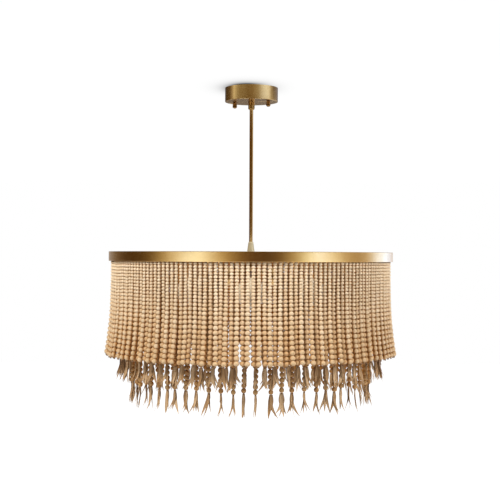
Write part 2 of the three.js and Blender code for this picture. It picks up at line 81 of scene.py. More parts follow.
# Small helpers for node trees
def feed(tree, socket, value):
    if isinstance(value, Field):
        tree.links.new(value.socket, socket)
    elif isinstance(value, bpy.types.NodeSocket):
        tree.links.new(value, socket)
    else:
        socket.default_value = value


class Field:  # a value inside a node tree, so that a sum can be written as a sum
    def __init__(self, tree, socket):
        self.tree = tree
        self.socket = socket

    def step(self, operation, *others, clamp=False):
        values = dict(enumerate((self, *others)))
        return shade(self.tree, "Math", values, operation=operation, use_clamp=clamp)

    def __add__(self, other):
        return self.step("ADD", other)

    def __sub__(self, other):
        return self.step("SUBTRACT", other)

    def __rsub__(self, other):
        return self.step("MULTIPLY", -1).step("ADD", other)

    def __mul__(self, other):
        return self.step("MULTIPLY", other)

    def __truediv__(self, other):
        return self.step("DIVIDE", other)

    def __pow__(self, other):
        return self.step("POWER", other)

    __radd__ = __add__
    __rmul__ = __mul__

    def clamped(self):
        return self.step("ADD", 0.0, clamp=True)


def node(tree, kind, inputs=None, **options):
    made = tree.nodes.new(kind)
    for option, value in options.items():
        setattr(made, option, value)
    for socket, value in (inputs or {}).items():
        feed(tree, made.inputs[socket], value)
    return made


# One output of a geometry node, and of a shader node
def geo(tree, kind, inputs=None, output=0, **options):
    return Field(tree, node(tree, "GeometryNode" + kind, inputs, **options).outputs[output])


def shade(tree, kind, inputs=None, output=0, **options):
    return Field(tree, node(tree, "ShaderNode" + kind, inputs, **options).outputs[output])


def vector(tree, x, y, z):
    return shade(tree, "CombineXYZ", {0: x, 1: y, 2: z})


def parts(tree, place):
    return [Field(tree, part) for part in node(tree, "ShaderNodeSeparateXYZ", {0: place}).outputs]


# A result that is a number comes from output 1.
def vectorMath(tree, operation, *values, output=0):
    return shade(tree, "VectorMath", dict(enumerate(values)), output, operation=operation)


# Materials
def newMaterial(name, colour, roughness, metallic=0.0, specular=0.5):
    material = bpy.data.materials.new(name)
    material.use_nodes = True
    shader = material.node_tree.nodes["Principled BSDF"]
    for label, value in (("Base Color", (*colour, 1)), ("Roughness", roughness), ("Metallic", metallic),
                         ("Specular IOR Level", specular)):
        shader.inputs[label].default_value = value
    return material, material.node_tree


def noise(tree, place, scale, detail=3.0, rough=0.5):
    return shade(tree, "TexNoise", {"Vector": place, "Scale": scale, "Detail": detail, "Roughness": rough})


def spread(tree, value, low, high, newLow=0.0, newHigh=1.0, smooth=False):
    return shade(tree, "MapRange", {0: value, 1: low, 2: high, 3: newLow, 4: newHigh},
                 interpolation_type="SMOOTHSTEP" if smooth else "LINEAR")


def blendColours(tree, share, first, second):
    made = node(tree, "ShaderNodeMix", {0: share}, data_type="RGBA")
    for number, colour in ((6, first), (7, second)):
        feed(tree, made.inputs[number], (*colour, 1) if isinstance(colour, tuple) else colour)
    return made.outputs[2]


def objectPlace(tree):
    return shade(tree, "TexCoord", output="Object")


def attribute(tree, name):
    return shade(tree, "Attribute", output="Fac", attribute_name=name)


# Colour, roughness and relief of a material. The relief's depth is in millimetres.
def coat(material, colour, roughness, relief, strength, depth):
    tree = material.node_tree
    bumped = shade(tree, "Bump", {"Height": relief, "Strength": strength, "Distance": depth * mm})
    for label, value in (("Base Color", colour), ("Roughness", roughness), ("Normal", bumped)):
        feed(tree, tree.nodes["Principled BSDF"].inputs[label], value)
    return material


brassSettings = {
    "satinBrass": {"colour": (0.75, 0.54, 0.26), "aged": (0.66, 0.45, 0.19), "roughness": 0.19},
    "paleBrass": {"colour": (0.86, 0.76, 0.52), "aged": (0.80, 0.68, 0.42), "roughness": 0.45,
                  "metallic": 0.72},
    "stemBrass": {"colour": (0.72, 0.50, 0.23), "aged": (0.62, 0.40, 0.16), "roughness": 0.1,
                  "brushing": 0.002, "unevenness": 0.2},
    # a much darker copy of the brass for the cap nuts: painted shade
    "darkBrass": {"colour": (0.26, 0.14, 0.045), "aged": (0.20, 0.10, 0.03), "roughness": 0.1,
                  "brushing": 0.01},
    # a darker copy of the brass for the hub, hub cap and lamp cups: painted shade, as they sit inside the
    # strands
    "shadedBrass": {"colour": (0.45, 0.28, 0.12), "aged": (0.36, 0.21, 0.08), "roughness": 0.34},
    # a darker copy of the brass for the swivel collar: painted shade
    "collarBrass": {"colour": (0.50, 0.31, 0.11), "aged": (0.42, 0.25, 0.08), "roughness": 0.12,
                    "brushing": 0.002, "unevenness": 0.2},
}
brushedLines = 900      # per metre along the profile


def brassMaterial(name, colour, aged, roughness, metallic=1.0, brushing=0.03, unevenness=1.0):
    material, tree = newMaterial(name, colour, roughness, metallic)
    across, along, _ = parts(tree, shade(tree, "UVMap", uv_map="brush"))
    turn = across * math.tau
    around = vector(tree, turn.step("COSINE"), turn.step("SINE"), along * brushedLines)
    lines = noise(tree, around, 2.0, 4.0, 0.6)
    clouds = noise(tree, objectPlace(tree), 38.0, 3.0, 0.55)
    share = spread(tree, clouds * 0.6 + lines * 0.4, 0.34, 0.7)
    return coat(material, blendColours(tree, share, colour, aged),
                roughness + (share * 0.02 + lines * 0.06) * unevenness, lines, brushing, 0.05)


metalSettings = {
    "zincPlated": {"colour": (0.56, 0.57, 0.58), "tint": (0.62, 0.58, 0.46), "roughness": 0.36},
    "bronzeLacquer": {"colour": (0.20, 0.135, 0.075), "tint": (0.13, 0.085, 0.05), "roughness": 0.42},
    "greenScrew": {"colour": (0.07, 0.30, 0.12), "tint": (0.10, 0.36, 0.18), "roughness": 0.4},
}


def metalMaterial(name, colour, tint, roughness):
    material, tree = newMaterial(name, colour, roughness, metallic=0.9)
    place = objectPlace(tree)
    patches = spread(tree, noise(tree, place, 120.0, 4.0), 0.35, 0.65)
    return coat(material, blendColours(tree, patches, colour, tint), patches * 0.12 + roughness,
                noise(tree, place, 900.0), 0.15, 0.05)


plainSettings = {
    "mouldedNylon": {"colour": (0.76, 0.73, 0.66), "roughness": 0.5, "scale": 700.0},
    "mouldedPhenolic": {"colour": (0.075, 0.036, 0.018), "roughness": 0.4, "scale": 900.0},
    # the bulbs' frosted glass is tan and darker than white glass: painted shade, as they hang inside the
    # strands
    "frostedGlass": {"colour": (0.72, 0.58, 0.40), "roughness": 0.3, "scale": 1500.0},
    "sheathedLead": {"colour": (0.30, 0.20, 0.10), "roughness": 0.55, "scale": 800.0},
}


def plainMaterial(name, colour, roughness, scale):
    material, tree = newMaterial(name, colour, roughness)
    grain = noise(tree, objectPlace(tree), scale)
    deeper = tuple(0.82 * value for value in colour)
    return coat(material, blendColours(tree, spread(tree, grain, 0.35, 0.7), colour, deeper),
                grain * 0.14 + (roughness - 0.07), grain, 0.12, 0.04)


# Per tier: side is painted shade on the beads' sides; behind is a peachier tone on strands hung behind
# their neighbours, partly the wood's own and partly painted shade.
woodSettings = {
    "outerWood": {"pale": (0.93, 0.77, 0.55), "body": (0.69, 0.48, 0.268), "behind": (0.62, 0.365, 0.16),
                  "side": (0.40, 0.165, 0.03), "deep": (0.26, 0.085, 0.01), "lower": 0.8},
    # The mid and inner tiers are darker, redder copies of the wood: painted shade for strands that hang
    # inside the outer tier.
    "midWood": {"pale": (0.90, 0.49, 0.17), "body": (0.48, 0.235, 0.07), "behind": (0.50, 0.22, 0.06),
                "side": (0.40, 0.15, 0.025), "deep": (0.20, 0.06, 0.008), "lower": 0.8},
    "innerWood": {"pale": (0.86, 0.52, 0.22), "body": (0.54, 0.32, 0.13), "behind": (0.50, 0.26, 0.09),
                  "side": (0.40, 0.17, 0.035), "deep": (0.22, 0.08, 0.015), "lower": 0.7},
}


# Turned wood: every bead has its own tone and fine grain, is darker round its hole, partly a stain and
# partly painted shade where the beads touch, and has painted shade on its sides, turned away from the room.
def woodMaterial(name, pale, body, behind, side, deep, lower):
    material, tree = newMaterial(name, body, 0.6, specular=0.28)
    stretched = shade(tree, "Mapping", {0: objectPlace(tree), 3: (900.0, 900.0, 260.0)})
    grain = noise(tree, stretched, 1.0, 3.0, 0.6)
    tone = attribute(tree, "beadTint") * 0.35 + attribute(tree, "strandTint") * 0.25
    # Beads darken towards the bottom of each strand; on the mid and inner tiers the paler tops are painted
    # light.
    tone = (tone + attribute(tree, "beadPlace") ** 2 * lower).clamped()
    colour = blendColours(tree, tone, pale, body)
    for share, over in (
        # strands hung behind their neighbours: partly their own peachier tone, partly painted shade
        (attribute(tree, "setBehind") * 0.8, behind),
        # painted shade on each bead's sides, where it turns away from the room
        (spread(tree, attribute(tree, "facingOut"), 0.72, -0.05, 0.0, 0.93, smooth=True), side),
        (spread(tree, grain, 0.4, 0.78, 0.0, 0.22), deep),
        # darker round the hole at each bead's ends: partly a stain, partly painted shade where the beads
        # touch
        (spread(tree, attribute(tree, "poleNear"), 0.84, 1.0, 0.0, 0.7, smooth=True), deep),
    ):
        colour = blendColours(tree, share, colour, over)
    return coat(material, colour, grain * 0.2 + 0.5, grain, 0.2, 0.12)


leafSettings = {
    "dryLeaf": {"pale": (0.72, 0.50, 0.29), "body": (0.42, 0.24, 0.105), "deep": (0.13, 0.05, 0.012)},
}


def leafMaterial(name, pale, body, deep):
    material, tree = newMaterial(name, body, 0.7, specular=0.25)
    tint = attribute(tree, "leafTint")
    across = attribute(tree, "leafAcross")
    fibre = vector(tree, across * 7 + tint * 90, attribute(tree, "leafAlong") * 2, tint)
    veins = noise(tree, fibre, 1.0, 3.0, 0.6)
    colour = blendColours(tree, tint, pale, body)
    edge = spread(tree, across.step("ABSOLUTE"), 0.3, 0.5, 0.0, 0.55, smooth=True)
    for share in (spread(tree, veins, 0.42, 0.68, 0.0, 0.35), edge):
        colour = blendColours(tree, share, colour, deep)
    return coat(material, colour, veins * 0.25 + 0.55, veins, 0.4, 0.2)


cordSettings = {"waxedCord": {"pale": (0.36, 0.21, 0.10), "deep": (0.14, 0.065, 0.025), "roughness": 0.6}}


def cordMaterial(name, pale, deep, roughness):
    material, tree = newMaterial(name, pale, roughness, specular=0.25)
    twist = noise(tree, objectPlace(tree), 1400.0, 2.0)
    colour = blendColours(tree, spread(tree, twist, 0.35, 0.65), pale, deep)
    return coat(material, colour, roughness, twist, 0.3, 0.1)


finishes = {}
for table, make in (
    (brassSettings, brassMaterial), (metalSettings, metalMaterial), (plainSettings, plainMaterial),
    (woodSettings, woodMaterial), (leafSettings, leafMaterial), (cordSettings, cordMaterial),
):
    for name, own in table.items():
        finishes[name] = make(name, **own)
print("materials ready")

# The CAD nodes that keep their shape get their finish here.
keptNodes = {
    "zincPlated": ("mounting_plate", "canopy_nipple", "canopy_locknut", "canopy_stud_1", "canopy_stud_2"),
    "greenScrew": ("earth_screw",),
    "mouldedNylon": ("swivel_seat",),
    "satinBrass": ("swivel_ball",),
    "sheathedLead": ("wiring_lead",),
}
for finish, nodeNames in keptNodes.items():
    for nodeName in nodeNames:
        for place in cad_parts[nodeName].material_slots:
            place.material = finishes[finish]


def rotation(degrees, axis="Z"):
    return Matrix.Rotation(math.radians(degrees), 4, axis)


# Turned metal pieces. Each corner of an outline has a radius, a height and a rounding, in millimetres.
def roundedLine(outline, closed):
    steps, mostOfSide = 4, 0.45
    line = []
    for number, (radius, height, rounding) in enumerate(outline):
        corner = Vector((radius, height))
        if not rounding or (not closed and number in (0, len(outline) - 1)):
            line.append(corner)
            continue
        ends = []
        for beside in (outline[number - 1], outline[(number + 1) % len(outline)]):
            way = Vector(beside[:2]) - corner
            ends.append(corner + way.normalized() * min(rounding, mostOfSide * way.length))
        for step in range(steps + 1):
            t = step / steps
            line.append((1 - t) ** 2 * ends[0] + 2 * t * (1 - t) * corner + t ** 2 * ends[1])
    return line


# Two more rings near the ends of each long run keep its shading straight.
def heldLine(line, closed):
    longRun, inFromEnd = 3.0, 0.8
    held = []
    for start, end in zip(line, line[1:] + line[:1]):
        held.append(start)
        if (end - start).length > longRun and (closed or start is not line[-1]):
            step = (end - start).normalized() * inFromEnd
            held += [start + step, end - step]
    return held


def fromShape(name, shape, finish):
    mesh = bpy.data.meshes.new(name)
    shape.to_mesh(mesh)
    shape.free()
    mesh.materials.append(finishes[finish])
    return added(name, mesh)


def lathe(name, outline, sides, finish, place=None, closed=True):
    onAxis, creaseDegrees = 1e-6, 35
    line = heldLine(roundedLine(outline, closed), closed)
    shape = bmesh.new()
    brush = shape.loops.layers.uv.new("brush")
    rings = []
    for radius, height in line:
        ring = []
        for side in range(sides if radius > onAxis else 1):
            angle = math.tau * side / sides + math.pi / 2
            spot = Vector((radius * math.cos(angle), radius * math.sin(angle), height)) * mm
            ring.append(shape.verts.new(spot))
        rings.append(ring)
    travelled = 0.0
    for number in range(len(rings) if closed else len(rings) - 1):
        following = (number + 1) % len(rings)
        low, high = rings[number], rings[following]
        reach = (line[following] - line[number]).length * mm
        for side in range(sides):
            used = []
            for ring, index, along in ((low, side, travelled), (low, side + 1, travelled),
                                       (high, side + 1, travelled + reach),
                                       (high, side, travelled + reach)):
                vert = ring[index % len(ring)]
                if vert not in [v for v, _, _ in used]:
                    used.append((vert, index / sides, along))
            if len(used) < 3:
                continue
            face = shape.faces.new([v for v, _, _ in used])
            face.smooth = True
            for loop, (_, across, along) in zip(face.loops, used):
                loop[brush].uv = (across, along)
        travelled += reach
    bmesh.ops.recalc_face_normals(shape, faces=shape.faces)
    for edge in shape.edges:
        edge.smooth = edge.calc_face_angle(0) < math.radians(creaseDegrees)
    if place:
        bmesh.ops.transform(shape, matrix=place, verts=shape.verts)
    return fromShape(name, shape, finish)


def settle(piece, body, slotName, *nodes):
    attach(piece, body)
    if nodes:
        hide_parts(*nodes)


# A turned piece that stands in for one CAD node
def turned(name, cadNode, outline, sides, finish, body="frame", slotName="satin_brass", **options):
    settle(lathe(name, outline, sides, finish, **options), body, slotName, cadNode)


def flatten(piece):
    graph = bpy.context.evaluated_depsgraph_get()
    mesh = bpy.data.meshes.new_from_object(piece.evaluated_get(graph))
    piece.modifiers.clear()
    piece.data = mesh


canopySettings = {"radius": 57, "height": 30, "wall": 1.5, "rim": 0.5, "hole": 5.2, "sides": 128,
                  "studHole": 2.3, "drillSpare": 2}
canopyTurn = rotation(-24)
studSpread = 39.6


def studPlace(side):
    return canopyTurn @ Matrix.Translation((side * studSpread * mm, 0, 0))


def canopyCover(radius, height, wall, rim, hole, sides, studHole, drillSpare):
    cover = lathe("canopyCover", [
        (hole, -height, 0.2), (radius, -height, rim), (radius, 0, 0.3), (radius - wall, 0, 0.3),
        (radius - wall, wall - height, 0.6), (hole, wall - height, 0.2),
    ], sides, "satinBrass", canopyTurn)
    low, high = -height - drillSpare, drillSpare - height + wall
    for side in (-1, 1):
        drill = lathe("studDrill", [(0, low, 0), (studHole, low, 0), (studHole, high, 0), (0, high, 0)],
                      24, "satinBrass", studPlace(side), closed=False)
        cut = cover.modifiers.new("studHole", "BOOLEAN")
        cut.operation = "DIFFERENCE"
        cut.solver = "EXACT"
        cut.object = drill
        flatten(cover)
        bpy.data.objects.remove(drill)
    settle(cover, "ceiling", "satin_brass", "canopy_cover")


canopyCover(**canopySettings)

# A cap nut has a narrower neck, a bead line below it and a domed end.
capNutSettings = {"top": -30.3, "bottom": -42, "neck": 4.0, "body": 4.85, "waist": 4.4, "tip": 2.6,
                  "bore": 2.3, "boreEnd": -39.6}


def capNut(number, side, top, bottom, neck, body, waist, tip, bore, boreEnd):
    turned("capNut%d" % number, "canopy_nut_%d" % number, [
        (0, bottom, 0), (tip, bottom, 1.2), (body, bottom + 2.3, 1.2), (body, top - 5.2, 0.25),
        (waist, top - 4.9, 0.15), (waist, top - 4.5, 0.15), (body, top - 4.2, 0.25),
        (body, top - 3.4, 0.5), (neck, top - 3.0, 0.3), (neck, top, 0.4), (bore, top, 0.2),
        (bore, boreEnd, 0), (0, boreEnd, 0),
    ], 40, "darkBrass", "ceiling", place=studPlace(side), closed=False)


for number, side in ((1, -1), (2, 1)):
    capNut(number, side, **capNutSettings)

collarSettings = {"radius": 7, "top": -30.3, "bottom": -46.3, "chamfer": 1.1, "neckBore": 5.2, "cavity": 6,
                  "neckEnd": -33.8, "lipTop": -44.6, "lipBore": 5.27, "lipBoreTop": 4.97}


def swivelCollar(radius, top, bottom, chamfer, neckBore, cavity, neckEnd, lipTop, lipBore, lipBoreTop):
    turned("swivelCollar", "swivel_collar", [
        (lipBore, bottom, 0.2), (radius - chamfer, bottom, 0.3), (radius, bottom + chamfer, 0.3),
        (radius, top, 0.4), (neckBore, top, 0), (neckBore, neckEnd, 0), (cavity, neckEnd, 0),
        (cavity, lipTop, 0), (lipBoreTop, lipTop, 0),
    ], 48, "collarBrass", "ceiling")


swivelCollar(**collarSettings)

stemSettings = {"radius": 4, "bore": 3, "top": -45.09, "bottom": -349.4, "coneBore": 4.3,
                "coneTop": -332.5, "coneEnd": -357, "coneTopRadius": 5.3, "coneEndRadius": 8.2}


def stemAndCoupling(radius, bore, top, bottom, coneBore, coneTop, coneEnd, coneTopRadius, coneEndRadius):
    turned("stem", "stem", [
        (bore, bottom, 0), (radius, bottom, 0.3), (radius, top, 0.3), (bore, top, 0),
    ], 40, "stemBrass")
    turned("stemCoupling", "stem_coupling", [
        (coneBore, coneEnd, 0), (coneEndRadius, coneEnd, 0.4), (coneEndRadius, coneEnd + 2.4, 0.8),
        (coneTopRadius, coneTop - 1.2, 0.8), (coneTopRadius - 0.5, coneTop, 0.4), (coneBore, coneTop, 0),
    ], 48, "paleBrass")


stemAndCoupling(**stemSettings)

# Each tier of strands, in millimetres. Depths are below the middle of the band.
# The two tiers behind share most of their line.
behindLine = {"First Depth": 3.5, "Flare": -3.2, "Flare Top": 10, "Flare Length": 130, "Side Sway": 5,
              "Group Sway": 4, "Wobble": 0.6}
tierSettings = {
    "outer": {
        "sectors": 10, "strands": 18, "beads": 26, "squeeze": 0.997, "bendDepth": 30,
        "line": {"Rail Radius": 296.2, "First Depth": 3.5, "Flare": 10.4, "Flare Top": 94,
                 "Flare Length": 120, "Set Back": 2.6, "Side Sway": 1.9, "Group Sway": 4, "In And Out": 0.8,
                 "Wobble": 0.35, "Shorter": 3},
        "bead": {"String Length": 205.8, "Top Height": 6.45, "End Height": 9.8, "Top Width": 9.0,
                 "End Width": 11.6},
    },
    "mid": {
        "sectors": 6, "strands": 14, "beads": 27, "squeeze": 1.0, "bendDepth": 0,
        "line": {**behindLine, "Rail Radius": 281, "Set Back": 0.8, "In And Out": 0.5, "Shorter": 6},
        "bead": {"String Length": 211.5, "Top Height": 6.45, "End Height": 9.6, "Top Width": 7.9,
                 "End Width": 9.5},
        "ribbons": 5, "leaf": {"Tassel Length": 43, "Widest": 15},
    },
    "inner": {
        "sectors": 6, "strands": 11, "beads": 33, "squeeze": 1.0, "bendDepth": 0,
        "line": {**behindLine, "Rail Radius": 257, "Set Back": 1.0, "In And Out": 1.0, "Shorter": 9},
        "bead": {"String Length": 266.3, "Top Height": 6.5, "End Height": 10.1, "Top Width": 8.2,
                 "End Width": 10.3},
        "ribbons": 4, "leaf": {"Tassel Length": 42.5, "Widest": 11.5},
    },
}

bandSettings = {"middle": 304, "width": 2, "top": -354.5, "bottom": -374.5, "edge": 0.45, "sides": 240}
railSettings = {"width": 4, "top": -360.3, "bottom": -364.3, "edge": 0.5, "sides": 160}


def hoop(name, cadNode, finish, slotName, middle, width, top, bottom, edge, sides):
    inner, outer = middle - width / 2, middle + width / 2
    turned(name, cadNode, [
        (inner, bottom, edge), (outer, bottom, edge), (outer, top, edge), (inner, top, edge),
    ], sides, finish, slotName=slotName)


hoop("ringBand", "ring_band", "satinBrass", "satin_brass", **bandSettings)
for tier, settings in tierSettings.items():
    hoop(tier + "Rail", tier + "_rail", "bronzeLacquer", "bronze_steel",
         middle=settings["line"]["Rail Radius"], **railSettings)

quarters = 4
armSettings = {"width": 14, "top": -357, "bottom": -360, "start": 9.1, "end": 302.85, "edge": 0.6,
               "turnDegrees": 45}


def frameArm(number, width, top, bottom, start, end, edge, turnDegrees):
    low, high = Vector((start, -width / 2, bottom)) * mm, Vector((end, width / 2, top)) * mm
    shape = bmesh.new()
    bmesh.ops.create_cube(shape, size=1)
    for vert in shape.verts:
        vert.co = Vector([low[i] + (high[i] - low[i]) * (vert.co[i] + 0.5) for i in range(3)])
    bmesh.ops.bevel(shape, geom=shape.edges, offset=edge * mm, segments=2, affect="EDGES")
    bmesh.ops.transform(shape, matrix=rotation(turnDegrees + 90 * number), verts=shape.verts)
    arm = fromShape("frameArm%d" % (number + 1), shape, "bronzeLacquer")
    settle(arm, "frame", "bronze_steel", "frame_arm_%d" % (number + 1))


for number in range(quarters):
    frameArm(number, **armSettings)

hubSettings = {"bore": 2.9, "spigot": 4, "spigotTop": -349.7, "boss": 9, "bossTop": -357.3, "disc": 24,
               "discTop": -360.3, "discEnd": -364.3, "body": 22, "bottom": -412.3, "chamber": 19.5,
               "roof": -367.3}
hubCapSettings = {"body": 22, "under": 19, "top": -412.6, "insert": 19.2, "insertHeight": 4, "neck": 3,
                  "finial": 6, "finialDepth": 11.196}


def hub(bore, spigot, spigotTop, boss, bossTop, disc, discTop, discEnd, body, bottom, chamber, roof):
    turned("hub", "hub", [
        (bore, spigotTop, 0.2), (spigot, spigotTop, 0.3), (spigot, bossTop, 0.1), (boss, bossTop, 0.4),
        (boss, discTop, 0.2), (disc, discTop, 0.6), (disc, discEnd, 0.6), (body, discEnd, 0.3),
        (body, bottom, 0.3), (chamber, bottom, 0.2), (chamber, roof, 0.2), (bore, roof, 0),
    ], 72, "shadedBrass")


def hubCap(body, under, top, insert, insertHeight, neck, finial, finialDepth):
    middle = top - finialDepth
    ball = [(finial * math.cos(a), middle + finial * math.sin(a), 0)
            for a in (math.radians(degrees) for degrees in range(-75, 61, 15))]
    turned("hubCap", "hub_cap", [
        (0, middle - finial, 0), *ball, (neck, top - 5.4, 0.3), (neck, top - 3.6, 0.8),
        (under, top - 3, 0.8), (body, top - 1.5, 0.6), (body, top, 0.3), (insert, top, 0.1),
        (insert, top + insertHeight, 0.4), (0, top + insertHeight, 0),
    ], 72, "shadedBrass", closed=False)


hub(**hubSettings)
hubCap(**hubCapSettings)

# A lamp's outlines run along its own axis, from the hub's axis outwards.
lampSettings = {"height": -388, "slopeDegrees": 22, "sides": 48, "grooves": 6, "firstGroove": 66,
                "groovePitch": 2.6, "grip": 17.3, "groove": 16.9, "neck": 12.9, "neckTop": 88.3,
                "neckLength": 52, "globe": 30}


def lamp(number, height, slopeDegrees, sides, grooves, firstGroove, groovePitch, grip, groove,
         neck, neckTop, neckLength, globe):
    middle = Matrix.Translation((0, 0, height * mm))
    place = middle @ rotation(90 * number) @ rotation(90 + slopeDegrees, "Y")
    cup = [
        (3.4, 15, 0.1), (5, 15, 0.2), (5, 34, 0.3), (9, 34, 0.8), (19, 43, 3.0), (19, 60.6, 0.5),
        (19.3, 61, 0.2), (19.3, 61.7, 0.2), (19, 62, 0.2), (17.8, 62, 0.2), (17.8, 43.6, 2.4),
        (8.4, 35.2, 0.3), (3.4, 35.2, 0.1),
    ]
    rows = []
    for row in range(grooves):
        start = firstGroove + groovePitch * row
        rows += [(grip, start, 0.2), (groove, start + 0.35, 0.15), (groove, start + 0.75, 0.15),
                 (grip, start + 1.1, 0.2)]
    holder = [
        (0, 42, 0), (13, 42, 0.6), (grip, 46, 1.2), *rows, (grip, 86, 0.3), (18.5, 86, 0.4),
        (18.5, 88, 0.5), (13.6, 88, 0.5), (13.6, 50, 0.3), (0, 50, 0),
    ]
    widest = neckTop + neckLength
    swell = [(neck + (globe - neck) * (1 - math.cos(math.pi * i / 12)) / 2,
              neckTop + neckLength * i / 12, 0) for i in range(13)]
    dome = [(globe * math.cos(math.pi * i / 20), widest + globe * math.sin(math.pi * i / 20), 0)
            for i in range(1, 10)]
    bulb = [(0, 50.3, 0), (4.5, 50.3, 0.5), (neck, 54.3, 0.5), *swell, *dome, (0, widest + globe, 0)]
    for name, cadNode, outline, finish, slotName, closed in (
        ("lampCup", "lamp_cup", cup, "shadedBrass", "satin_brass", True),
        ("lampholder", "lampholder", holder, "mouldedPhenolic", "phenolic", False),
        ("bulb", "bulb", bulb, "frostedGlass", "frosted_glass", False),
    ):
        turned("%s%d" % (name, number + 1), "%s_%d" % (cadNode, number + 1), outline, sides, finish,
               slotName=slotName, place=place, closed=closed)


for number in range(quarters):
    lamp(number, **lampSettings)
print("metal and lamps made")


# Geometry Nodes: what the bead strands, their cords and their tassels share
socketKinds = {int: "NodeSocketInt", float: "NodeSocketFloat", type(None): "NodeSocketMaterial"}


def newTree(name, sizes, **outputs):
    tree = bpy.data.node_groups.new(name, "GeometryNodeTree")
    for label, value in sizes.items():
        socket = tree.interface.new_socket(label, in_out="INPUT", socket_type=socketKinds[type(value)])
        if value is not None:
            socket.default_value = value
    for label, kind in (outputs or {"Geometry": "Geometry"}).items():
        tree.interface.new_socket(label, in_out="OUTPUT", socket_type="NodeSocket" + kind)
    entry = tree.nodes.new("NodeGroupInput")
    return tree, {label: Field(tree, entry.outputs[label]) for label in sizes}


def closeTree(tree, **results):
    end = tree.nodes.new("NodeGroupOutput")
    for label, value in results.items():
        feed(tree, end.inputs[label], value)
    return tree


# Runs a tree with its sizes and keeps the result as a plain mesh.
def grow(name, tree, sizes):
    holder = added(name, bpy.data.meshes.new(name))
    modifier = holder.modifiers.new("grow", "NODES")
    modifier.node_group = tree
    for item in tree.interface.items_tree:
        if item.name in sizes:
            modifier[item.identifier] = sizes[item.name]
    flatten(holder)
    holder.data.name = name
    return holder


def chanceOf(tree, identity, seed, low=0.0, high=1.0):
    made = node(tree, "FunctionNodeRandomValue", {2: low, 3: high, 7: identity, 8: seed})
    return Field(tree, made.outputs[1])


def pointCloud(tree, count):
    return geo(tree, "Points", {"Count": count})


def moved(tree, geometry, place):
    return geo(tree, "SetPosition", {"Geometry": geometry, "Position": place})


def remember(tree, geometry, name, value, kind="FLOAT"):
    return geo(tree, "StoreNamedAttribute", {"Geometry": geometry, "Name": name, "Value": value},
               data_type=kind, domain="POINT")


def recalled(tree, name, kind="FLOAT"):
    return geo(tree, "InputNamedAttribute", {"Name": name}, data_type=kind)


def finished(tree, geometry, material, smooth=True):
    real = geo(tree, "RealizeInstances", {"Geometry": geometry})
    shaded = geo(tree, "SetShadeSmooth", {"Geometry": real, "Shade Smooth": smooth})
    return geo(tree, "SetMaterial", {"Geometry": shaded, "Material": material})


def inMetres(sizes):
    return {label: value * mm for label, value in sizes.items()}


# The line that one strand hangs along
def lineOf(settings, sector):
    return {
        "Sector": sector, "Strands In Sector": settings["strands"],
        "Strands Round": settings["strands"] * settings["sectors"], "Squeeze": settings["squeeze"],
        "Last Depth": (settings["line"]["First Depth"] + settings["bead"]["String Length"]) * mm,
        **inMetres(settings["line"]),
    }


lineSizes = lineOf(tierSettings["outer"], 0)
anyAngle = 6.28     # random angles run up to this, just under a full turn
strandHabit = {"waves": 62, "driftScale": 0.21, "edgeReach": 1.2, "edgeCalm": 0.6}


def strandLineGroup():
    tree, size = newTree("strandLine", {"Strand": 0, "Depth": 0.0, **lineSizes},
                         Place="Vector", Angle="Float", Behind="Float")
    strand, depth = size["Strand"], size["Depth"]
    share = ((depth - size["First Depth"]) / (size["Last Depth"] - size["First Depth"])).clamped()
    lean = share ** 1.5
    flare = ((depth - size["Flare Top"]) / size["Flare Length"]).clamped() ** 2 * size["Flare"]
    turnAbout = strand.step("FLOORED_MODULO", 2) * 2 - 1
    phase = chanceOf(tree, strand, 4, high=anyAngle)
    wobble = (depth * strandHabit["waves"] + phase).step("SINE") * size["Wobble"] * share ** 0.5
    drift = noise(tree, vector(tree, strand, 0.0, 0.0), strandHabit["driftScale"], 1.0) * 2 - 1
    middle = (size["Strands In Sector"] - 1) / 2
    before = size["Sector"] * size["Strands In Sector"]
    local = strand - before - middle
    edge = (local.step("ABSOLUTE") - middle + strandHabit["edgeReach"]).clamped()
    stray = chanceOf(tree, strand, 5, -1.0) * size["Side Sway"]
    stray = stray * (1 - edge * strandHabit["edgeCalm"])
    side = (stray + drift * size["Group Sway"]) * lean + wobble
    inOut = chanceOf(tree, strand, 6, -1.0) * size["In And Out"] * lean
    radius = size["Rail Radius"] + flare + turnAbout * size["Set Back"] * lean + inOut
    angle = (local * size["Squeeze"] + before) / size["Strands Round"] * math.tau
    bearing = angle + side / radius
    height = bandMiddle - depth + share * chanceOf(tree, strand, 7) * size["Shorter"]
    place = vector(tree, radius * bearing.step("COSINE"), radius * bearing.step("SINE"), height)
    return closeTree(tree, Place=place, Angle=angle, Behind=(turnAbout * lean * -1).clamped())


strandLine = strandLineGroup()


# The place of a strand at a depth, the strand's angle, and how far it hangs behind its neighbours
def onStrand(tree, size, strand, depth):
    inputs = {"Strand": strand, "Depth": depth, **{label: size[label] for label in lineSizes}}
    made = node(tree, "GeometryNodeGroup", inputs, node_tree=strandLine)
    return [Field(tree, made.outputs[label]) for label in ("Place", "Angle", "Behind")]


beadHabit = {"rings": 7, "segments": 10, "heights": (0.96, 1.04), "widths": (0.965, 1.035), "tilt": 0.1,
             "swell": (0.28, 0.85)}


